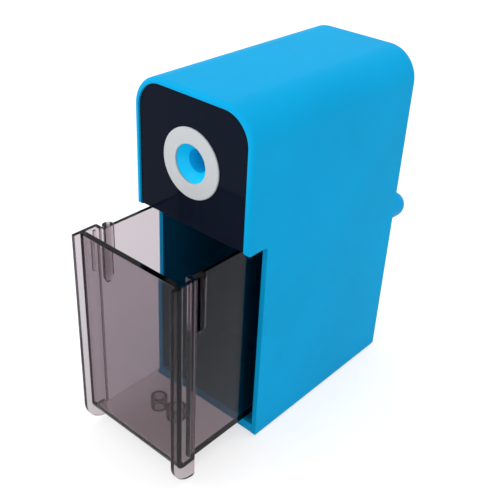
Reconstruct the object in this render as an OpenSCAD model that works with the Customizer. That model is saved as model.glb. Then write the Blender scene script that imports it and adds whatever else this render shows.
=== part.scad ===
// Crank pencil sharpener with a pull-out shavings drawer.
// Frame: X across the body, front faces -Y, Z up. The origin is the centre of the mat that it stands on.
// The drawer is drawn pulled out by drawer_pull, and the crank hangs crank_lean off straight down.

/* [Cover] */
// Width across the cover's side walls
cover_w = 52; // [51:0.5:58]
// Depth of the cover, front rim to back edge
cover_d = 90; // [88:1:104]
// Height of the cover's top above the table
cover_top = 133; // [129:1:148]
// Thickness of the cover's walls
cover_wall = 2; // [1.6:0.1:2.4]
// Outside radius of the two long top edges
corner_r = 12; // [9:0.5:14]
// Rounding of the front rim's outer edge
rim_r = 1.3; // [0.6:0.1:1.5]
// How far the lower front stands back from the upper front
step_back = 10; // [8:0.5:13]
// Rounding of the step's corners, seen from the side
step_r = 1.6; // [0.8:0.1:2.5]
// Height of the cover's lower edge above the table
skirt_gap = 0.8; // [0.5:0.1:1.2]
// How far the ledges stand in from the cover's walls
ledge = 1; // [0.7:0.1:1.3]
// Height of each ledge
ledge_h = 1.2; // [0.8:0.1:2]
// How far the long ledges start behind the lower front
ledge_start = 8; // [6:0.5:10]
// Radius of the screw bosses inside the cover
boss_r = 3.2; // [2.6:0.1:3.8]
// Length of the rear screw bosses
boss_len = 10; // [8:0.5:12]

/* [Front panel] */
// Thickness of the black front plate
plate_t = 2; // [1.5:0.1:2.5]
// How far the plate's face lies behind the front rim
plate_recess = 0.6; // [0.4:0.1:1]
// Outside radius of the ring round the pencil hole
ring_r = 12.3; // [11.5:0.1:14]
// How far the ring stands forward of the plate
ring_t = 0.6; // [0.4:0.1:1]
// Length of the sleeve behind the ring
ring_sleeve = 4; // [3:0.5:5]
// Thickness of that sleeve
sleeve_t = 0.7; // [0.5:0.1:0.9]
// Radius of the hole in the plate
plate_hole_r = 10; // [9.6:0.1:10.8]
// Radius of the funnel's mouth
mouth_r = 6.8; // [6:0.1:7.6]
// Radius of the pencil hole
pencil_r = 4.1; // [3.9:0.05:4.3]
// Depth of the funnel's cone
cone_depth = 3; // [2.5:0.1:4]
// Thickness of the funnel's flange
flange_t = 2; // [1.5:0.1:2.5]
// Thickness of the funnel's tube
tube_wall = 1.5; // [1.2:0.1:1.8]

/* [Base] */
// Thickness of the base plate
base_t = 2.4; // [2:0.1:3]
// Height of the lip along the base plate's front, above the plate
lip_h = 1.5; // [1:0.1:2]
// Thickness of the lip
lip_t = 2; // [1.5:0.1:3]
// Thickness of the non-slip mat
mat_t = 1.4; // [1.3:0.1:1.6]
// Width of the mat
mat_w = 32; // [26:1:33]
// Length of the mat
mat_len = 62; // [50:1:66]
// Radius of the mat's corners
mat_corner_r = 4; // [2:0.5:6]
// How far the base screws stand in from the base plate's ends
base_screw_inset = 7; // [6:0.5:9]
// Length of each lug that takes a base screw
lug_len = 8; // [7:0.5:9]
// Width of each lug
lug_w = 6.6; // [6:0.1:7.2]
// Height of each lug, which also carries the drawer
lug_h = 4.4; // [4:0.1:5.4]

/* [Rear panel] */
// Thickness of the rear panel
panel_t = 2.5; // [2:0.1:3]
// How far the rear panel lies inside the cover's back edge
panel_recess = 0.5; // [0.3:0.1:1]
// Height of the lower panel screws above the base plate
low_screw_h = 11; // [9:0.5:16]
// Outside radius of the boss round the rear bush
bush_boss_r = 7; // [6.4:0.1:8]
// Length of that boss
bush_boss_len = 6; // [5:0.5:7]
// Outside radius of the rear bush
bush_r = 4; // [3.7:0.1:4.6]
// Outside radius of the bush's flange
bush_flange_r = 6; // [5.4:0.1:6.3]
// Thickness of the bush's flange
bush_flange_t = 1; // [0.8:0.1:1.3]

/* [Drawer] */
// How far the drawer is pulled out
drawer_pull = 30; // [0:1:30]
// Depth of the drawer's box behind its front wall
box_len = 71.2; // [62:0.1:72]
// Thickness of the drawer's walls
drawer_wall = 1.5; // [1.2:0.1:1.8]
// Thickness of the drawer's front wall and floor
front_wall = 2.2; // [1.8:0.1:2.6]
// Outside radius of the bend between the front wall and the floor
bend_r = 4; // [3:0.1:5]
// How far the flanges stand forward of the front wall
flange_len = 2.3; // [1.8:0.1:3.5]
// How far the box's sides stand in from the front's sides
box_inset = 2.2; // [2:0.1:2.6]
// How far the box's rim lies below the front's rim
rim_drop = 0.8; // [0.5:0.1:1.2]
// Height of the drawer's floor above the lugs that carry it
floor_gap = 0.3; // [0.2:0.05:0.5]
// Height of the drawer's two feet above the table
foot_gap = 1.6; // [1.2:0.1:2.2]
// Radius of the two half-round guide ribs
rib_r = 2.1; // [1.6:0.1:2.1]
// Length of the guide ribs, down from the rim
rib_len = 20; // [12:1:30]
// Distance of the guide ribs behind the front's outer walls
rib_gap = 1.2; // [0.5:0.1:2]
// Length of the slim ribs inside the front's two pockets
pocket_rib_len = 15.5; // [12:0.5:24]
// Radius of the two round stops on the drawer's floor
stop_r = 3.1; // [2.6:0.1:3.6]
// Radius of the hole down each stop
stop_bore_r = 1.9; // [1.5:0.1:2.1]
// Height of the stops
stop_h = 5; // [3:0.5:7]
// Distance between the stops' centres
stop_pitch = 8.2; // [7.7:0.1:12]
// Distance of the stops behind the front wall
stop_inset = 18.2; // [15:0.1:25]

/* [Gears] */
// Size of the gear teeth: pitch diameter over number of teeth
gear_module = 1; // [0.95:0.01:1.03]
// Teeth of the fixed ring gear
ring_teeth = 32; // [30:2:32]
// Teeth of the cutter's pinion
pinion_teeth = 10; // [9:1:11]
// Wall behind the ring gear's teeth
gear_rim = 2.2; // [1.8:0.1:2.6]
// Width of the pinion's teeth
pinion_w = 3; // [2.4:0.1:3.2]
// Distance from the axis to the four screws that hold the ring gear, beyond its rim
ear_out = 1.4; // [1.2:0.1:1.8]
// Radius of the ears round those screws
ear_r = 2.6; // [2.2:0.1:2.8]

/* [Cutter] */
// Half angle of the sharpened point
cone_angle = 11.5; // [11:0.1:12]
// Radius over the helical teeth
cutter_r = 5.6; // [5.3:0.1:5.8]
// Length of the cutter
cutter_len = 22.5; // [20:0.5:24]
// Number of helical teeth
cutter_teeth = 20; // [16:1:24]
// Depth of the helical teeth
cutter_tooth = 0.8; // [0.5:0.1:1]
// Turn of each tooth along the cutter
cutter_twist = 110; // [60:5:150]
// Radius of the cutter's front neck
neck_r = 2.9; // [2.7:0.1:3.1]
// Radius of the pin that the cutter turns on
pin_r = 1.5; // [1.3:0.1:1.6]

/* [Carrier] */
// Thickness of the carrier's front disc
disc_t = 3; // [2.5:0.1:3.5]
// Thickness of the carrier's rear disc
back_t = 4; // [3.5:0.1:5]
// Outside radius of the carrier behind its front disc
carrier_r = 16; // [15:0.1:17]
// Thickness of the carrier's side web
web_t = 3; // [2.5:0.1:3.5]
// Half of the angle that the web covers
web_half = 62; // [45:1:75]
// Radius of the hub behind the rear disc
hub_r = 5; // [4.5:0.1:5.6]
// Length of that hub
hub_len = 5; // [4:0.5:6]
// Radius of the shaft
shaft_r = 2.5; // [2.2:0.1:2.8]

/* [Frame] */
// Thickness of the shelf over the drawer
shelf_t = 2; // [1.6:0.1:2.4]
// Thickness of the bulkhead
bulkhead_t = 3; // [2.5:0.1:3.5]
// Height of the shelf's side walls
side_h = 7; // [5:0.5:9]
// Thickness of those walls
side_t = 2; // [1.5:0.1:2.2]
// Half width of the opening that shavings fall through
chute_half = 14; // [12:0.5:15]
// Width of each rear post
post_w = 7; // [6:0.5:8]
// Height of each rear post
post_h = 9; // [8:0.5:10]
// Depth of each rear post
post_d = 9; // [7:0.5:10]

/* [Crank] */
// Distance from the shaft to the knob
crank_len = 56.6; // [45:0.5:62]
// Angle between the crank and straight down
crank_lean = 8.1; // [0:0.1:20]
// Radius of the crank's hub
crank_hub_r = 8.5; // [7.5:0.1:10]
// Length of the crank's hub
crank_hub_len = 9; // [8:0.5:10]
// Thickness of the arm
arm_t = 5; // [4:0.5:6]
// Radius of the arm's end round the knob pin
arm_end_r = 6.4; // [5.8:0.1:7.5]
// Radius of the knob at its round end
knob_r = 5.8; // [5.4:0.1:7]
// Radius of the knob beside the arm
knob_neck_r = 4.8; // [4.4:0.1:5.2]
// Length of the knob
knob_len = 25.3; // [20:0.1:32]
// Radius of the knob's pin
knob_pin_r = 2; // [1.8:0.1:2.2]
// Radius of the snap head at the pin's end
snap_r = 2.7; // [2.5:0.1:3]

/* [Screws] */
// Radius of the screws' threads
screw_r = 1.3; // [1.1:0.05:1.4]
// Radius of the screws' heads
head_r = 2.4; // [2.2:0.1:2.6]
// Thickness of the screws' heads
head_t = 1.4; // [1.2:0.1:1.6]
// Length of the screws' threads
screw_len = 7; // [6:0.5:7.5]
// Radius of the small screws that hold the ring gear
small_screw_r = 0.9; // [0.8:0.05:1]

/* [Clearances] */
// Gap round a part that is dropped into its seat
seat_gap = 0.15; // [0.1:0.01:0.2]
// Gap round a turning fit
run_gap = 0.08; // [0.05:0.01:0.1]
// Gap beside parts that move past each other
move_gap = 0.3; // [0.3:0.02:0.5]
// Gap between the pinion's tips and the ring gear
mesh_gap = 0.5; // [0.4:0.01:0.6]
// Free height between the mechanism and the cover's top
head_room = 2.7; // [2:0.1:5]
// Free height between the ring gear and the shelf
shelf_room = 0.7; // [0.5:0.1:1.2]
// Free height between the drawer and the shelf
drawer_room = 0.8; // [0.6:0.1:1.2]
// How far the drawer's rim stands above the cover's step
rim_over_step = 0.5; // [0.3:0.1:0.7]

/* [Hidden] */

$fn = 96;
cut = 0.5;              // how far a cutting tool reaches past the face it cuts
sides = [-1, 1];

// cover
front_y = -cover_d / 2;
back_y = cover_d / 2;
half_w = cover_w / 2;
inner_half = half_w - cover_wall;
inner_top = cover_top - cover_wall;
inner_corner_r = corner_r - cover_wall;
low_front_y = front_y + step_back;

// gears: the ring's teeth point inwards, and the pinion rolls inside them
ring_pitch_r = gear_module * ring_teeth / 2;
pinion_pitch_r = gear_module * pinion_teeth / 2;
mesh_d = ring_pitch_r - pinion_pitch_r;
pinion_tip_r = pinion_pitch_r + 0.9 * gear_module;
pinion_root_r = pinion_pitch_r - 1.2 * gear_module;
ring_tip_r = ring_pitch_r - 0.7 * gear_module;
// the slanted pinion reaches furthest at its front end
pinion_reach = mesh_d + pinion_w / 2 * sin(cone_angle) + pinion_tip_r / cos(cone_angle);
ring_root_r = pinion_reach + mesh_gap;
gear_case_r = ring_root_r + gear_rim;

// heights
axis_z = inner_top - head_room - gear_case_r;
shelf_top = axis_z - gear_case_r - shelf_room;
shelf_z = shelf_top - shelf_t;
drawer_top = shelf_z - drawer_room;
step_z = drawer_top - rim_over_step;
plate_z = drawer_top + move_gap;
base_top = skirt_gap + base_t;

// front panel
plate_y = front_y + plate_recess;
plate_back = plate_y + plate_t;
ring_y = plate_y - ring_t;
flange_y = plate_y + run_gap;
sleeve_r = plate_hole_r - run_gap;
flange_r = sleeve_r - sleeve_t - run_gap;
tube_r = pencil_r + tube_wall;

// rear panel and its bearing
panel_back = back_y - panel_recess;
panel_y = panel_back - panel_t;
bush_boss_y = panel_y - bush_boss_len;
bush_y = bush_boss_y - bush_flange_t;
bush_end = panel_back + 0.9;
washer_t = 0.8;
washer_gap = 0.1;
hub_end = bush_y - washer_t - 2 * washer_gap;

// mechanism along the pencil's axis, worked back to front from the hub's end
disc_gap = pinion_w / 2 * cos(cone_angle) + pinion_tip_r * sin(cone_angle) + move_gap;
cutter_z0 = (disc_gap + disc_t) / cos(cone_angle) + cutter_r * tan(cone_angle) + move_gap;
cutter_z1 = cutter_z0 + cutter_len;
back_gap = cutter_z1 * cos(cone_angle) + cutter_r * sin(cone_angle) + move_gap;
pinion_y = hub_end - hub_len - back_t - back_gap;
disc_y = pinion_y + disc_gap;
back_disc_y = pinion_y + back_gap;
clip_t = 0.8;
clip_r = pin_r + 1.1;
pin_front = pinion_w / 2 + clip_t + 0.6;
wall_gap = pin_front * cos(cone_angle) + clip_r * sin(cone_angle) + move_gap;
bulkhead_back = pinion_y - wall_gap;
bulkhead_y = bulkhead_back - bulkhead_t;
gear_end = disc_y + disc_t + 0.2;
gear_half_w = pinion_w / 2 + 0.7;
ear_d = gear_case_r + ear_out;
ear_t = 4;
ear_angles = [45, 135, 225, 315];
shaft_seat = hub_end - hub_len - 1;
pin_seat = (back_gap + back_t - 1) / cos(cone_angle);

// screws
low_screw_x = inner_half - boss_r + 0.6;
low_screw_z = base_top + low_screw_h;
high_screw_d = inner_corner_r - boss_r + 0.7;
corner_x = half_w - corner_r;
corner_z = cover_top - corner_r;
panel_screw_xz = [[low_screw_x, low_screw_z],
    [corner_x + high_screw_d * cos(45), corner_z + high_screw_d * sin(45)]];
post_x = inner_half - side_t - seat_gap - post_w / 2;
post_screw_z = shelf_top + post_h / 2;
base_end = panel_y - seat_gap;
base_front = low_front_y + seat_gap;
base_screw_ys = [base_front + base_screw_inset + lug_len / 2, base_end - base_screw_inset];
base_screw_x = inner_half - lug_w / 2;
lug_top = base_top + lug_h;
pilot_gap = 0.05;

// drawer
drawer_y = front_y - 0.5 - drawer_pull;
wing_d = step_back + 0.5 - move_gap;
wing_half = inner_half - move_gap;
box_half = wing_half - box_inset;
front_wall_y = drawer_y + flange_len;
wing_back = drawer_y + wing_d;
box_back = front_wall_y + box_len;
box_top = drawer_top - rim_drop;
floor_z = lug_top + floor_gap;
floor_top = floor_z + front_wall;

// crank
crank_y = panel_back + 1.7;
crank_end = crank_y + crank_hub_len;
arm_y = crank_end - arm_t;
knob_y = crank_end + move_gap;
knob_tip = knob_y + knob_len;
dome_y = knob_tip - knob_r;
pin_head_t = 1.2;
pin_head_r = knob_pin_r + 1.4;
snap_t = 2.5;
knob_pin_end = dome_y - 1.5;

// a bar along +Y from y0, with its axis at x and z
module bar(x, z, y0, len, r) {
    translate([x, y0, z]) rotate([-90, 0, 0]) cylinder(r = r, h = len);
}

// a block given by its lowest and highest corners
module block(low, high) {
    translate(low) cube(high - low);
}

// the two mirrored sides of the body
module both_sides() {
    for (s = sides) scale_x(s) children();
}

module scale_x(s) {
    if (s < 0) mirror([1, 0, 0]) children();
    else children();
}

// about the pencil's axis: local Z runs along +Y, local Y points down
module on_pencil_axis(y) {
    translate([0, y, axis_z]) rotate([-90, 0, 0]) children();
}

// about the cutter's slanted axis: local Z runs back towards the point, local Y away from the pencil
module on_cutter_axis() {
    translate([0, pinion_y, axis_z - mesh_d]) rotate([cone_angle - 90, 0, 0]) children();
}

// about the crank as it leans: local X is across the arm, local Z runs from the shaft to the knob
module on_crank() {
    translate([0, 0, axis_z]) rotate([0, 180 - crank_lean, 0]) children();
}

// sweeps a wall's outline, drawn as distance in from the outside and depth, round the sides and top
module sweep_cover(low_z) {
    both_sides() {
        translate([half_w, 0, low_z]) linear_extrude(corner_z - low_z) mirror([1, 0]) children();
        translate([corner_x, 0, corner_z]) rotate([90, 0, 0]) mirror([0, 0, 1])
            rotate([0, 0, 0]) corner_sweep() children();
    }
    translate([-corner_x, 0, cover_top]) rotate([0, 90, 0]) linear_extrude(2 * corner_x) children();
}

// one quarter turn of the outline round the long top edge's centre
module corner_sweep() {
    rotate_extrude(angle = 90) translate([corner_r, 0]) mirror([1, 0]) children();
}

// outline of the cover's wall, with its front edge rounded
module wall_outline() {
    translate([0, front_y + rim_r]) square([cover_wall, cover_d - rim_r]);
    translate([rim_r, front_y]) square([cover_wall - rim_r, 2 * rim_r]);
    intersection() {
        translate([rim_r, front_y + rim_r]) circle(rim_r);
        translate([0, front_y]) square([1.5 * rim_r, 1.5 * rim_r]);
    }
}

// outline of the ledge that the front plate seats on
module plate_ledge_outline() {
    translate([cover_wall - cut, plate_back + run_gap]) square([ledge + cut, ledge_h]);
}

// side view of the room cut for the drawer: depth along X, height along Y
module step_outline() {
    difference() {
        translate([front_y - cut, -cut]) square([step_back + cut, step_z + cut]);
        translate([low_front_y - step_r, step_z - step_r]) difference() {
            square(step_r + cut);
            circle(step_r);
        }
    }
    translate([front_y, step_z]) difference() {
        translate([-cut, -cut]) square([step_r + cut, step_r + cut]);
        translate([step_r, step_r]) circle(step_r);
    }
}

// the room for the drawer, cut across the whole width
module step_cut() {
    translate([-half_w - cut, 0, 0]) rotate([90, 0, 90]) linear_extrude(cover_w + 2 * cut) step_outline();
}

// front view of a panel that fits inside the cover, from height z0 up
module panel_outline(z0, gap) {
    half = inner_half - gap;
    top = inner_top - gap;
    r = inner_corner_r - gap;
    translate([-half, z0]) square([2 * half, top - r - z0]);
    translate([-half + r, z0]) square([2 * (half - r), top - z0]);
    for (s = sides) translate([s * (half - r), top - r]) circle(r);
}

// a panel of that outline, between two depths
module panel(z0, gap, y0, y1) {
    translate([0, y1, 0]) rotate([90, 0, 0]) linear_extrude(y1 - y0) panel_outline(z0, gap);
}

module cover_shell() {
    color("deepskyblue") difference() {
        union() {
            sweep_cover(skirt_gap) wall_outline();
            sweep_cover(plate_z + ledge_h) plate_ledge_outline();
            both_sides() {
                shelf_ledge();
                base_lugs();
                for (p = panel_screw_xz) bar(p[0], p[1], panel_y - boss_len, boss_len, boss_r);
            }
        }
        step_cut();
        both_sides() {
            for (p = panel_screw_xz)
                bar(p[0], p[1], panel_y - screw_len, screw_len + cut, screw_r + pilot_gap);
            for (y = base_screw_ys) translate([base_screw_x, y, base_top - cut])
                cylinder(r = screw_r + pilot_gap, h = lug_top - base_top + 2 * cut);
        }
        bevel_outside();
    }
}

// trims the bosses where they would stand out of the wall
module bevel_outside() {
    both_sides() block([half_w, panel_y - boss_len - cut, 0], [half_w + boss_r, back_y, cover_top]);
}

// long ledge that the mechanism's shelf rests on
module shelf_ledge() {
    block([inner_half - ledge, low_front_y + ledge_start, shelf_z - ledge_h],
        [inner_half + cut, panel_y - 2, shelf_z]);
}

// lugs that take the base screws and carry the drawer
module base_lugs() {
    for (y = base_screw_ys)
        block([inner_half - lug_w, y - lug_len / 2, base_top], [inner_half + cut, y + lug_len / 2, lug_top]);
}

module front_plate() {
    color("black") difference() {
        panel(plate_z, seat_gap, plate_y, plate_back);
        bar(0, axis_z, plate_y - cut, plate_t + 2 * cut, plate_hole_r);
    }
}

module entry_ring() {
    color("lightgray") on_pencil_axis(0) rotate_extrude() polygon([
        [mouth_r, ring_y], [ring_r - 0.2, ring_y], [ring_r, ring_y + 0.2], [ring_r, plate_y],
        [sleeve_r, plate_y], [sleeve_r, plate_y + ring_sleeve],
        [sleeve_r - sleeve_t, plate_y + ring_sleeve], [sleeve_r - sleeve_t, plate_y], [mouth_r, plate_y]]);
}

module pencil_funnel() {
    cone_end = flange_y + cone_depth;
    color("deepskyblue") on_pencil_axis(0) rotate_extrude() polygon([
        [mouth_r, flange_y], [flange_r, flange_y], [flange_r, flange_y + flange_t],
        [mouth_r + tube_wall / 2, flange_y + flange_t], [tube_r, cone_end + flange_t],
        [tube_r, bulkhead_back], [pencil_r, bulkhead_back], [pencil_r, cone_end]]);
}

module base_plate() {
    half = inner_half - seat_gap;
    color("deepskyblue") difference() {
        union() {
            block([-half, base_front, skirt_gap], [half, base_end, base_top]);
            block([-half, base_front, skirt_gap], [half, base_front + lip_t, base_top + lip_h]);
        }
        mat_solid(-cut, mat_t, seat_gap);
        both_sides() for (y = base_screw_ys) translate([base_screw_x, y, 0]) {
            cylinder(r = head_r + seat_gap, h = skirt_gap + head_t);
            cylinder(r = screw_r + seat_gap, h = base_top + cut);
        }
    }
}

// the mat's block between two heights, grown by a gap
module mat_solid(z0, z1, gap) {
    translate([0, 0, z0]) linear_extrude(z1 - z0) {
        square([mat_w + 2 * gap, mat_len - 2 * mat_corner_r], center = true);
        square([mat_w - 2 * mat_corner_r, mat_len + 2 * gap], center = true);
        for (s = sides, t = sides)
            translate([s * (mat_w / 2 - mat_corner_r), t * (mat_len / 2 - mat_corner_r)])
                circle(mat_corner_r + gap);
    }
}

module non_slip_mat() {
    color("dimgray") mat_solid(0, mat_t, 0);
}

// a screw with a flat head and a cross slot, its head's outer face at the origin, thread along +Z
module screw(r, big_r, big_t, len) {
    slot = big_r * 0.28;
    difference() {
        union() {
            cylinder(r = big_r, h = big_t);
            cylinder(r = r, h = big_t + len);
        }
        for (a = [0, 90]) rotate([0, 0, a])
            translate([-big_r * 0.62, -slot / 2, -cut]) cube([big_r * 1.24, slot, cut + big_t / 2]);
    }
}

module base_screws() {
    color("silver") both_sides() for (y = base_screw_ys)
        translate([base_screw_x, y, skirt_gap]) screw(screw_r, head_r, head_t, lug_top - base_top - 0.5);
}

// screws through the rear panel, driven from behind
module rear_screw(x, z) {
    translate([x, panel_back, z]) rotate([90, 0, 0]) screw(screw_r, head_r, head_t, screw_len - head_t);
}

module panel_screws() {
    color("silver") both_sides() for (p = panel_screw_xz) rear_screw(p[0], p[1]);
}

module frame_screws() {
    color("silver") both_sides() rear_screw(post_x, post_screw_z);
}

module rear_panel() {
    color("deepskyblue") difference() {
        union() {
            panel(base_top + seat_gap, seat_gap, panel_y, panel_back);
            bar(0, axis_z, bush_boss_y, bush_boss_len + cut, bush_boss_r);
        }
        bar(0, axis_z, bush_boss_y - cut, bush_boss_len + panel_t + 2 * cut, bush_r + run_gap);
        both_sides() for (p = concat(panel_screw_xz, [[post_x, post_screw_z]])) {
            bar(p[0], p[1], panel_y - cut, panel_t + 2 * cut, screw_r + seat_gap);
            bar(p[0], p[1], panel_back - head_t, head_t + cut, head_r + seat_gap);
        }
    }
}

module rear_bush() {
    color("darkgoldenrod") difference() {
        union() {
            bar(0, axis_z, bush_y, bush_flange_t, bush_flange_r);
            bar(0, axis_z, bush_boss_y, bush_end - bush_boss_y, bush_r);
        }
        bar(0, axis_z, bush_y - cut, bush_end - bush_y + 2 * cut, shaft_r + run_gap);
    }
}

module mechanism_frame() {
    half = inner_half - move_gap;
    shelf_y = plate_back + ledge_h + 2 * run_gap + seat_gap;
    shelf_end = panel_y - seat_gap;
    color("whitesmoke") difference() {
        union() {
            block([-half, shelf_y, shelf_z], [half, shelf_end, shelf_top]);
            bulkhead();
            both_sides() {
                block([half - side_t, bulkhead_y, shelf_top - cut], [half, shelf_end, shelf_top + side_h]);
                block([post_x - post_w / 2, shelf_end - post_d, shelf_top - cut],
                    [post_x + post_w / 2, shelf_end, shelf_top + post_h]);
            }
        }
        block([-chute_half, disc_y + disc_t, shelf_z - cut], [chute_half, back_disc_y, shelf_top + cut]);
        bar(0, axis_z, bulkhead_y - cut, bulkhead_t + 2 * cut, tube_r + run_gap);
        at_ears() translate([0, 0, bulkhead_y - cut])
            cylinder(r = small_screw_r + seat_gap, h = bulkhead_t + 2 * cut);
        both_sides()
            bar(post_x, post_screw_z, panel_y - screw_len, screw_len + cut, screw_r + pilot_gap);
    }
}

// wall that carries the ring gear and the funnel's inner end
module bulkhead() {
    block([-gear_case_r, bulkhead_y, shelf_top - cut], [gear_case_r, bulkhead_back, axis_z]);
    bar(0, axis_z, bulkhead_y, bulkhead_t, gear_case_r);
    at_ears() translate([0, 0, bulkhead_y]) cylinder(r = ear_r, h = bulkhead_t);
}

// the four places of the ring gear's screws
module at_ears() {
    on_pencil_axis(0) for (a = ear_angles) rotate([0, 0, a]) translate([ear_d, 0, 0]) children();
}

// outline of n teeth between two radii; half angles in degrees at each radius
function tooth(root_r, tip_r, root_half, tip_half) =
    [[-root_half, root_r], [-tip_half, tip_r], [tip_half, tip_r], [root_half, root_r]];
function teeth_points(n, root_r, tip_r, root_half, tip_half, start) = [
    for (i = [0:n - 1], p = tooth(root_r, tip_r, root_half, tip_half))
        let (a = start + i * 360 / n + p[0]) p[1] * [cos(a), sin(a)]];

// half angle that a half width takes at a radius
function half_angle(half_width, r) = half_width / r * 180 / PI;

module ring_gear() {
    deep_r = ring_root_r + 0.3;
    tip_half = half_angle(0.28 * gear_module, ring_tip_r);
    deep_half = half_angle(0.98 * gear_module, deep_r);
    start = 90 + 180 / ring_teeth;
    color("ivory") difference() {
        union() {
            on_pencil_axis(bulkhead_back) cylinder(r = gear_case_r, h = gear_end - bulkhead_back);
            at_ears() translate([0, 0, bulkhead_back]) cylinder(r = ear_r, h = ear_t);
        }
        on_pencil_axis(bulkhead_back - cut)
            cylinder(r = ring_root_r, h = pinion_y - gear_half_w - bulkhead_back + cut);
        on_pencil_axis(pinion_y - gear_half_w - 0.3) linear_extrude(2 * gear_half_w + 0.6)
            polygon(teeth_points(ring_teeth, deep_r, ring_tip_r, deep_half, tip_half, start));
        on_pencil_axis(pinion_y + gear_half_w)
            cylinder(r = ring_root_r, h = gear_end - pinion_y - gear_half_w + cut);
        at_ears() translate([0, 0, bulkhead_back - cut])
            cylinder(r = small_screw_r + pilot_gap, h = ear_t + 2 * cut);
    }
}

module gear_screws() {
    color("silver") at_ears() translate([0, 0, bulkhead_y - head_t])
        screw(small_screw_r, 2 * small_screw_r, head_t, bulkhead_t + ear_t - 0.5);
}

// side view of the front's outer wall: depth along X, height along Y, its foot a quarter round
module wing_outline() {
    foot_z = foot_gap + wing_d;
    translate([drawer_y, foot_z]) square([wing_d, drawer_top - foot_z]);
    intersection() {
        translate([wing_back, foot_z]) circle(wing_d);
        translate([drawer_y, foot_gap]) square(wing_d);
    }
}

// one side of the drawer's front: outer wall with its foot, return to the box, and ribs
module drawer_wing() {
    outer_x = wing_half - drawer_wall;
    translate([outer_x, 0, 0]) rotate([90, 0, 90]) linear_extrude(drawer_wall) wing_outline();
    block([box_half - drawer_wall, wing_back - drawer_wall, floor_z], [outer_x + cut, wing_back, drawer_top]);
    translate([box_half, wing_back + rib_gap + rib_r, box_top - rib_len]) guide_rib();
    translate([outer_x, (front_wall_y + front_wall + wing_back) / 2, box_top - pocket_rib_len]) pocket_rib();
}

// half-round rib that guides the drawer along the cover's wall, drawn out to a taper at its foot
module guide_rib() {
    intersection() {
        union() {
            cylinder(r = rib_r, h = rib_len);
            translate([0, 0, -rib_r]) cylinder(r1 = rib_r / 2, r2 = rib_r, h = rib_r);
        }
        translate([-drawer_wall / 2, -rib_r, -rib_r])
            cube([drawer_wall / 2 + rib_r, 2 * rib_r, rib_len + rib_r]);
    }
}

// slim rib inside the pocket of the wing
module pocket_rib() {
    translate([-0.8, 0, 0]) cube([1, 1, pocket_rib_len]);
}

module drawer() {
    color([0.35, 0.3, 0.33, 0.45]) {
        both_sides() {
            drawer_wing();
            block([box_half - drawer_wall, wing_back - drawer_wall, floor_z], [box_half, box_back, box_top]);
            translate([stop_pitch / 2, front_wall_y + stop_inset, floor_top - cut]) difference() {
                cylinder(r = stop_r, h = stop_h + cut);
                translate([0, 0, -cut]) cylinder(r = stop_bore_r, h = stop_h + 3 * cut);
            }
        }
        drawer_front();
        drawer_floor();
        block([-box_half, box_back - drawer_wall, floor_z], [box_half, box_back, box_top]);
    }
}

// front wall between the flanges
module drawer_front() {
    half = wing_half - drawer_wall / 2;
    block([-half, front_wall_y, floor_z + bend_r], [half, front_wall_y + front_wall, drawer_top]);
}

// floor, and the bend that joins it to the front wall
module drawer_floor() {
    half = wing_half - drawer_wall / 2;
    bend_y = front_wall_y + bend_r;
    bend_z = floor_z + bend_r;
    block([-box_half, bend_y, floor_z], [box_half, box_back, floor_top]);
    block([-half, bend_y, floor_z], [half, wing_back, floor_top]);
    intersection() {
        translate([-half, bend_y, bend_z]) rotate([0, 90, 0]) difference() {
            cylinder(r = bend_r, h = 2 * half);
            translate([0, 0, -cut]) cylinder(r = bend_r - front_wall, h = 2 * half + 2 * cut);
        }
        block([-half, front_wall_y, floor_z], [half, bend_y, bend_z]);
    }
}

module cutter_carrier() {
    back = back_disc_y + back_t;
    color("gainsboro") difference() {
        union() {
            bar(0, axis_z, disc_y, disc_t, ring_root_r - run_gap - 0.07);
            bar(0, axis_z, back_disc_y, back_t, carrier_r);
            bar(0, axis_z, back - cut, hub_len + cut, hub_r);
            carrier_web();
        }
        bar(0, axis_z, disc_y - cut, disc_t + 2 * cut, pencil_r + 0.5);
        bar(0, axis_z, shaft_seat, hub_end - shaft_seat + cut, shaft_r);
        on_cutter_axis() cylinder(r = neck_r + run_gap, h = cutter_z0);
        on_cutter_axis() translate([0, 0, cutter_z1]) cylinder(r = pin_r, h = pin_seat - cutter_z1);
    }
}

// curved web that joins the two discs on the side away from the cutter
module carrier_web() {
    on_pencil_axis(disc_y + disc_t - cut) rotate([0, 0, -90 - web_half]) rotate_extrude(angle = 2 * web_half)
        translate([carrier_r - web_t, 0]) square([web_t, back_disc_y - disc_y - disc_t + 2 * cut]);
}

module carrier_shaft() {
    tip = crank_end;
    color("silver") difference() {
        bar(0, axis_z, shaft_seat, tip - shaft_seat, shaft_r);
        bar(0, axis_z, tip - screw_len, screw_len + cut, screw_r + pilot_gap);
        shaft_flat(0);
    }
}

// flat on the shaft inside the crank's hub
module shaft_flat(gap) {
    far = shaft_r + cut;
    on_crank() block([-far, crank_y, -far], [far, crank_end + cut, -shaft_r * 0.72 - gap]);
}

module thrust_washer() {
    color("silver") difference() {
        bar(0, axis_z, hub_end + washer_gap, washer_t, hub_r);
        bar(0, axis_z, hub_end, washer_t + 2 * washer_gap, shaft_r + run_gap);
    }
}

module cutter_pin() {
    color("silver") on_cutter_axis() difference() {
        translate([0, 0, -pin_front]) cylinder(r = pin_r, h = pin_front + pin_seat);
        translate([0, 0, -pinion_w / 2 - clip_t]) clip_groove();
    }
}

// groove round the pin that the clip snaps into
module clip_groove() {
    difference() {
        cylinder(r = pin_r + cut, h = clip_t - washer_gap);
        translate([0, 0, -cut]) cylinder(r = pin_r - 0.3, h = clip_t + 2 * cut);
    }
}

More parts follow.
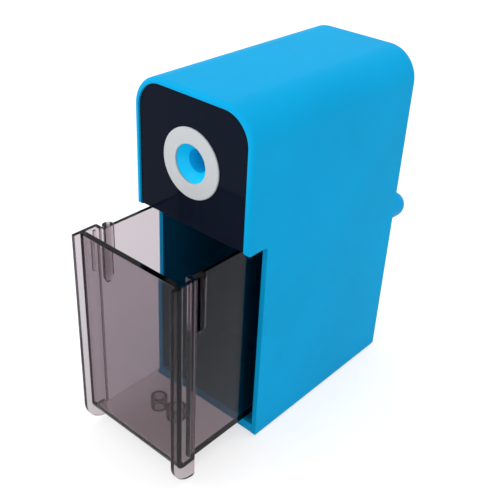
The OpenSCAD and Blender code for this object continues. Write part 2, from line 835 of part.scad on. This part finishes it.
module cutter_clip() {
    color("dimgray") on_cutter_axis() translate([0, 0, -pinion_w / 2 - clip_t + 0.02]) difference() {
        cylinder(r = clip_r, h = clip_t - washer_gap - 0.04);
        translate([0, 0, -cut]) cylinder(r = pin_r - 0.28, h = clip_t + 2 * cut);
        translate([-0.5, 0, -cut]) cube([1, clip_r + cut, clip_t + 2 * cut]);
    }
}

module helical_cutter() {
    valley = cutter_r - cutter_tooth;
    color("slategray") on_cutter_axis() difference() {
        union() {
            translate([0, 0, cutter_z0]) linear_extrude(cutter_len, twist = cutter_twist, slices = 22)
                polygon(teeth_points(cutter_teeth, valley, cutter_r, 360 / cutter_teeth * 0.44,
                    360 / cutter_teeth * 0.12, 0));
            translate([0, 0, pinion_w / 2]) cylinder(r = neck_r, h = cutter_z0 - pinion_w / 2 + cut);
        }
        cylinder(r = pin_r + run_gap, h = cutter_z1 + cut);
    }
}

module cutter_pinion() {
    tip_half = half_angle(0.2 * gear_module, pinion_tip_r);
    root_half = half_angle(0.9 * gear_module, pinion_root_r);
    color("silver") on_cutter_axis() difference() {
        translate([0, 0, -pinion_w / 2]) linear_extrude(pinion_w)
            polygon(teeth_points(pinion_teeth, pinion_root_r, pinion_tip_r, root_half, tip_half, 90));
        translate([0, 0, -pinion_w]) cylinder(r = pin_r + run_gap, h = 2 * pinion_w);
    }
}

// tapered bar with round ends between two circles on local Z, with its straight sides tangent to both
module arm_outline(r0, r1, len) {
    lean = asin((r0 - r1) / len);
    circle(r0);
    translate([0, len]) circle(r1);
    polygon([for (s = sides) s * r0 * [cos(lean), 0] + [0, r0 * sin(lean)],
        for (s = [1, -1]) s * r1 * [cos(lean), 0] + [0, len + r1 * sin(lean)]]);
}

module crank_arm() {
    color("deepskyblue") difference() {
        on_crank() {
            bar(0, 0, crank_y, crank_hub_len, crank_hub_r);
            translate([0, crank_end, 0]) rotate([90, 0, 0]) linear_extrude(arm_t)
                arm_outline(crank_hub_r, arm_end_r, crank_len);
        }
        difference() {
            bar(0, axis_z, crank_y - cut, crank_hub_len + 2 * cut, shaft_r + pilot_gap);
            shaft_flat(pilot_gap);
        }
        on_crank() bar(0, crank_len, arm_y - cut, arm_t + 2 * cut, knob_pin_r);
        on_crank() bar(0, crank_len, arm_y - cut, pin_head_t + cut, pin_head_r + seat_gap);
    }
}

module crank_screw() {
    color("silver") translate([0, crank_end + head_t + 0.05, axis_z]) rotate([90, 0, 0])
        screw(screw_r, head_r + 1.4, head_t, screw_len - 1);
}

module knob_pin() {
    color("silver") on_crank() {
        bar(0, crank_len, arm_y, pin_head_t, pin_head_r);
        bar(0, crank_len, arm_y, knob_pin_end - arm_y, knob_pin_r);
        bar(0, crank_len, knob_pin_end - snap_t, snap_t, snap_r);
    }
}

module crank_knob() {
    bore_end = knob_pin_end + move_gap;
    color("deepskyblue") on_crank() translate([0, 0, crank_len]) rotate([-90, 0, 0]) difference() {
        union() {
            translate([0, 0, knob_y + 0.8])
                cylinder(r1 = knob_neck_r, r2 = knob_r, h = dome_y - knob_y - 0.8);
            translate([0, 0, knob_y]) cylinder(r1 = knob_neck_r - 0.6, r2 = knob_neck_r, h = 0.8);
            translate([0, 0, dome_y]) sphere(knob_r);
        }
        translate([0, 0, knob_y - cut]) cylinder(r = knob_pin_r + run_gap, h = bore_end - knob_y + cut);
        translate([0, 0, knob_pin_end - snap_t - move_gap])
            cylinder(r = snap_r + move_gap, h = bore_end - knob_pin_end + snap_t + move_gap);
    }
}

cover_shell();
front_plate();
entry_ring();
pencil_funnel();
base_plate();
non_slip_mat();
base_screws();
rear_panel();
panel_screws();
frame_screws();
mechanism_frame();
ring_gear();
gear_screws();
rear_bush();
drawer();
cutter_carrier();
carrier_shaft();
thrust_washer();
cutter_pin();
cutter_clip();
crank_arm();
crank_screw();
knob_pin();
helical_cutter();
cutter_pinion();
crank_knob();
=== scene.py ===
"""Looks for the crank pencil sharpener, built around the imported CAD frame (metres, Z up)."""
import math

import bpy
from mathutils import Matrix, Vector

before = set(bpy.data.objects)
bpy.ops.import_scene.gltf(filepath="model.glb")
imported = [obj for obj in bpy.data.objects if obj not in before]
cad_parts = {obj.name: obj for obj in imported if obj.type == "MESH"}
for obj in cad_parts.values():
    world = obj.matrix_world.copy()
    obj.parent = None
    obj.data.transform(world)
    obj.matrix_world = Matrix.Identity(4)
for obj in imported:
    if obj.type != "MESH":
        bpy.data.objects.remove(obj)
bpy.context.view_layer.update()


# ---------------------------------------------------------------- camera

# fitted to the photo: angles in degrees, distance and target in metres, lens in millimetres
CAMERA = {"azimuth": 39.55, "elevation": 31.44, "roll": 3.2, "distance": 0.3199,
          "target": (-0.00902, -0.00167, 0.05353), "lens": 58.14}
SENSOR_WIDTH = 36
NEAR_CLIP = 0.01


def add_camera(spec):
    """Places the camera by its angles round the target, rolled about its own axis."""
    az, el, roll = (math.radians(spec[k]) for k in ("azimuth", "elevation", "roll"))
    back = Vector((math.sin(az) * math.cos(el), -math.cos(az) * math.cos(el), math.sin(el)))
    right = Vector((math.cos(az), math.sin(az), 0))
    up = back.cross(right)
    across = right * math.cos(roll) + up * math.sin(roll)
    upward = up * math.cos(roll) - right * math.sin(roll)
    data = bpy.data.cameras.new("camera")
    data.lens = spec["lens"]
    data.sensor_width = SENSOR_WIDTH
    data.clip_start = NEAR_CLIP
    camera = bpy.data.objects.new("camera", data)
    bpy.context.scene.collection.objects.link(camera)
    place = Matrix((across, upward, back)).transposed().to_4x4()
    place.translation = Vector(spec["target"]) + back * spec["distance"]
    camera.matrix_world = place
    bpy.context.scene.camera = camera


add_camera(CAMERA)


# ---------------------------------------------------------------- materials

# scales of the textures, in repeats per metre
CLOUD_SCALE = 28
MARK_SCALE = 1600
RIPPLE_SCALE = 90
# heights of the relief, in metres
GRAIN_HEIGHT = 0.001
MARK_HEIGHT = 0.0004
RIPPLE_HEIGHT = 0.001
EDGE_SAMPLES = 6
# the smoothest that moulded plastic and metal get
PLASTIC_POLISH = 0.02
METAL_POLISH = 0.05
# how much darker and lighter than its colour a metal is in its tool marks
MARK_DARK = 0.8
MARK_LIGHT = 1.12
# the clear plastic's own tint, its refraction, and how much rougher its dullest spots are
CLEAR_TINT = (1, 0.99, 0.995)
CLEAR_IOR = 1.3
DULL_FACTOR = 3


def new_material(name):
    """A material with its node tree and its main shader."""
    material = bpy.data.materials.new(name)
    material.use_nodes = True
    tree = material.node_tree
    return material, tree, tree.nodes["Principled BSDF"]


def node(tree, kind, **sockets):
    """Adds a node and sets its input sockets by name."""
    made = tree.nodes.new(kind)
    for key, value in sockets.items():
        made.inputs[key.replace("_", " ")].default_value = value
    return made


def ramp(tree, source, low, high, start=0.3, end=0.7):
    """A colour ramp between two colours, fed by a value socket."""
    made = tree.nodes.new("ShaderNodeValToRGB")
    made.color_ramp.elements[0].position = start
    made.color_ramp.elements[1].position = end
    made.color_ramp.elements[0].color = (*low, 1)
    made.color_ramp.elements[1].color = (*high, 1)
    tree.links.new(source, made.inputs["Fac"])
    return made


def scaled(colour, factor):
    """A colour made darker or lighter, and never over 1."""
    return tuple(min(1, c * factor) for c in colour)


def coordinates(tree):
    """Places on the piece itself, in metres, so that textures move with it."""
    return tree.nodes.new("ShaderNodeTexCoord").outputs["Object"]


def vary_roughness(tree, source, low, high):
    """Lets the roughness run from low to high with a value socket."""
    between = node(tree, "ShaderNodeMapRange", To_Min=low, To_Max=high)
    tree.links.new(source, between.inputs["Value"])
    tree.links.new(between.outputs["Result"], tree.nodes["Principled BSDF"].inputs["Roughness"])


def add_relief(tree, source, strength, height, edge_radius=0.0):
    """Raises the surface by a value socket, with its edges eased where edge_radius is given."""
    bump = node(tree, "ShaderNodeBump", Strength=strength, Distance=height)
    tree.links.new(source, bump.inputs["Height"])
    if edge_radius:
        edge = node(tree, "ShaderNodeBevel", Radius=edge_radius)
        edge.samples = EDGE_SAMPLES
        tree.links.new(edge.outputs["Normal"], bump.inputs["Normal"])
    tree.links.new(bump.outputs["Normal"], tree.nodes["Principled BSDF"].inputs["Normal"])


def plastic(name, colour, roughness=0.4, grain=0.0003, depth=0.02, mottle=0.05, round_edges=0.0004,
            spread=0.08, specular=0.5):
    """Moulded plastic: faint cloudiness in the colour, fine grain in the surface, eased edges."""
    material, tree, shader = new_material(name)
    links = tree.links
    where = coordinates(tree)
    cloud = node(tree, "ShaderNodeTexNoise", Scale=CLOUD_SCALE, Detail=3)
    links.new(where, cloud.inputs["Vector"])
    tint = ramp(tree, cloud.outputs["Fac"], scaled(colour, 1 - mottle), scaled(colour, 1 + mottle))
    links.new(tint.outputs["Color"], shader.inputs["Base Color"])
    fine = node(tree, "ShaderNodeTexNoise", Scale=1 / grain, Detail=2)
    links.new(where, fine.inputs["Vector"])
    vary_roughness(tree, cloud.outputs["Fac"], max(PLASTIC_POLISH, roughness - spread), roughness + spread)
    add_relief(tree, fine.outputs["Fac"], depth, GRAIN_HEIGHT, round_edges)
    shader.inputs["Specular IOR Level"].default_value = specular
    return material


def metal(name, colour, roughness=0.3, stretch=(1, 1, 1), depth=0.05, spread=0.12):
    """Metal with fine tool marks, drawn out along one axis by stretch."""
    material, tree, shader = new_material(name)
    links = tree.links
    where = coordinates(tree)
    mapping = tree.nodes.new("ShaderNodeMapping")
    mapping.inputs["Scale"].default_value = stretch
    links.new(where, mapping.inputs["Vector"])
    marks = node(tree, "ShaderNodeTexNoise", Scale=MARK_SCALE, Detail=3)
    links.new(mapping.outputs["Vector"], marks.inputs["Vector"])
    tint = ramp(tree, marks.outputs["Fac"], scaled(colour, MARK_DARK), scaled(colour, MARK_LIGHT))
    links.new(tint.outputs["Color"], shader.inputs["Base Color"])
    vary_roughness(tree, marks.outputs["Fac"], max(METAL_POLISH, roughness - spread), roughness + spread)
    add_relief(tree, marks.outputs["Fac"], depth, MARK_HEIGHT)
    shader.inputs["Metallic"].default_value = 1
    return material


def smoked(name, colour, density, roughness=0.015, ripple_depth=0.012, round_edges=0.00035):
    """Clear plastic that darkens with the length of the way through it, so its edges look black."""
    material, tree, shader = new_material(name)
    shader.inputs["Base Color"].default_value = (*CLEAR_TINT, 1)
    shader.inputs["Transmission Weight"].default_value = 1
    shader.inputs["IOR"].default_value = CLEAR_IOR
    shader.inputs["Specular Tint"].default_value = (0, 0, 0, 1)
    ripple = node(tree, "ShaderNodeTexNoise", Scale=RIPPLE_SCALE, Detail=2)
    tree.links.new(coordinates(tree), ripple.inputs["Vector"])
    vary_roughness(tree, ripple.outputs["Fac"], roughness, roughness * DULL_FACTOR)
    add_relief(tree, ripple.outputs["Fac"], ripple_depth, RIPPLE_HEIGHT, round_edges)
    volume = node(tree, "ShaderNodeVolumeAbsorption", Color=(*colour, 1), Density=density)
    tree.links.new(volume.outputs["Volume"], tree.nodes["Material Output"].inputs["Volume"])
    return material


SKY_BLUE = (0.003, 0.36, 0.69)
MATERIALS = {
    "cover_blue": plastic("cover_blue", SKY_BLUE, roughness=0.46, grain=0.00028, depth=0.035,
                          specular=0.02),
    "base_blue": plastic("base_blue", SKY_BLUE, roughness=0.5, depth=0.04, specular=0.05),
    # painted light: the funnel is the same blue plastic as the cover, given a lighter colour here to
    # brighten away the shade inside its deep cone
    "funnel_blue": plastic("funnel_blue", (0.004, 0.56, 0.92), roughness=0.32, depth=0.01, mottle=0.0,
                           specular=0.1),
    "crank_blue": plastic("crank_blue", (0.003, 0.36, 0.72), roughness=0.4, depth=0.02, specular=0.05),
    "panel_black": plastic("panel_black", (0.004, 0.007, 0.016), roughness=0.07, depth=0.002, spread=0.02,
                           specular=0.028),
    "ring_grey": plastic("ring_grey", (0.5, 0.525, 0.54), roughness=0.35, depth=0.006, mottle=0.015,
                         specular=0.3),
    "smoke_clear": smoked("smoke_clear", (0.2, 0.06, 0.12), 380),
    "mat_rubber": plastic("mat_rubber", (0.02, 0.02, 0.022), roughness=0.85, grain=0.0006, depth=0.4),
    "frame_white": plastic("frame_white", (0.62, 0.62, 0.6), roughness=0.6, depth=0.08),
    "gear_ivory": plastic("gear_ivory", (0.66, 0.62, 0.5), roughness=0.45, round_edges=0.0),
    "carrier_zinc": metal("carrier_zinc", (0.46, 0.47, 0.49), roughness=0.48, depth=0.2),
    "tool_steel": metal("tool_steel", (0.36, 0.37, 0.4), roughness=0.3),
    "bright_steel": metal("bright_steel", (0.66, 0.66, 0.68), roughness=0.22, stretch=(1, 0.08, 1)),
    "zinc_screw": metal("zinc_screw", (0.62, 0.63, 0.66), roughness=0.28, depth=0.08),
    "spring_steel": metal("spring_steel", (0.1, 0.1, 0.115), roughness=0.4),
    "bronze": metal("bronze", (0.55, 0.33, 0.14), roughness=0.42, depth=0.2),
}
NODE_MATERIALS = {
    "cover_shell": "cover_blue", "front_plate": "panel_black", "entry_ring": "ring_grey",
    "pencil_funnel": "funnel_blue", "base_plate": "base_blue", "non_slip_mat": "mat_rubber",
    "base_screws": "zinc_screw", "rear_panel": "base_blue", "panel_screws": "zinc_screw",
    "frame_screws": "zinc_screw", "mechanism_frame": "frame_white", "ring_gear": "gear_ivory",
    "gear_screws": "zinc_screw", "rear_bush": "bronze", "drawer": "smoke_clear",
    "cutter_carrier": "carrier_zinc", "carrier_shaft": "bright_steel", "thrust_washer": "bright_steel",
    "cutter_pin": "bright_steel", "cutter_clip": "spring_steel", "crank_arm": "crank_blue",
    "crank_screw": "zinc_screw", "knob_pin": "bright_steel", "helical_cutter": "tool_steel",
    "cutter_pinion": "bright_steel", "crank_knob": "crank_blue",
}


def dress(name, material):
    """Gives a CAD piece one material in all its slots."""
    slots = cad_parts[name].data.materials
    if not slots:
        slots.append(material)
    for i in range(len(slots)):
        slots[i] = material


for name, material in NODE_MATERIALS.items():
    dress(name, MATERIALS[material])


# ---------------------------------------------------------------- floor, light and background

FLOOR_SIZE = 6
# the floor's share of lit grey and of its own glow where it is seen, which keeps a soft shadow
FLOOR_LIT = 0.5
FLOOR_GLOW = 0.6
# strength of the surroundings where they light the object
SKY_LEVEL = 0.86
# each softbox's place, aim and side in metres, and its power in watts
SOFTBOXES = {
    "key": ((-0.25, -0.55, 0.6), (0, 0, 0.06), 0.45, 1.3),
    "fill": ((-0.75, -0.35, 0.22), (0, -0.03, 0.07), 0.4, 1.5),
    "top": ((0.05, 0.15, 0.75), (0, 0, 0.06), 0.5, 0.95),
    "front": ((0.4, -0.7, 0.1), (0, -0.03, 0.06), 0.35, 0.9),
}


def seen_directly(tree):
    """1 for camera, mirror and see-through rays, 0 for the rays that light the object."""
    path = tree.nodes.new("ShaderNodeLightPath")
    total = path.outputs["Is Camera Ray"]
    for name in ("Is Glossy Ray", "Is Transmission Ray"):
        most = tree.nodes.new("ShaderNodeMath")
        most.operation = "MAXIMUM"
        tree.links.new(total, most.inputs[0])
        tree.links.new(path.outputs[name], most.inputs[1])
        total = most.outputs[0]
    return total


def floor_material():
    """White floor: plain to the lamps, whitened where it is seen, with the shadow kept."""
    material, tree, shader = new_material("floor")
    links = tree.links
    shader.inputs["Base Color"].default_value = (0.8, 0.8, 0.8, 1)
    shader.inputs["Roughness"].default_value = 0.9
    lit = node(tree, "ShaderNodeBsdfDiffuse", Color=(FLOOR_LIT, FLOOR_LIT, FLOOR_LIT, 1))
    glow = node(tree, "ShaderNodeEmission", Color=(1, 1, 1, 1), Strength=FLOOR_GLOW)
    both = tree.nodes.new("ShaderNodeAddShader")
    links.new(lit.outputs[0], both.inputs[0])
    links.new(glow.outputs[0], both.inputs[1])
    mix = tree.nodes.new("ShaderNodeMixShader")
    links.new(seen_directly(tree), mix.inputs["Fac"])
    links.new(shader.outputs[0], mix.inputs[1])
    links.new(both.outputs[0], mix.inputs[2])
    links.new(mix.outputs[0], tree.nodes["Material Output"].inputs["Surface"])
    return material


def add_floor():
    bpy.ops.mesh.primitive_plane_add(size=FLOOR_SIZE, location=(0, 0, 0))
    floor = bpy.context.object
    floor.name = "floor"
    floor.data.materials.append(floor_material())


def add_world():
    world = bpy.data.worlds.new("studio")
    bpy.context.scene.world = world
    world.use_nodes = True
    tree = world.node_tree
    tree.nodes.clear()
    seen = node(tree, "ShaderNodeBackground", Color=(1, 1, 1, 1), Strength=1)
    lighting = node(tree, "ShaderNodeBackground", Color=(0.99, 0.99, 1, 1), Strength=SKY_LEVEL)
    mix = tree.nodes.new("ShaderNodeMixShader")
    tree.links.new(seen_directly(tree), mix.inputs["Fac"])
    tree.links.new(lighting.outputs[0], mix.inputs[1])
    tree.links.new(seen.outputs[0], mix.inputs[2])
    tree.links.new(mix.outputs[0], tree.nodes.new("ShaderNodeOutputWorld").inputs["Surface"])


def add_softbox(name, place, aim, size, power):
    """Adds a square lamp that faces aim."""
    data = bpy.data.lights.new(name, "AREA")
    data.energy = power
    data.size = size
    lamp = bpy.data.objects.new(name, data)
    bpy.context.scene.collection.objects.link(lamp)
    lamp.location = place
    lamp.rotation_euler = (Vector(place) - Vector(aim)).to_track_quat("Z", "Y").to_euler()


add_floor()
add_world()
for name, spec in SOFTBOXES.items():
    add_softbox(name, *spec)

bpy.context.scene.view_settings.view_transform = "Standard"
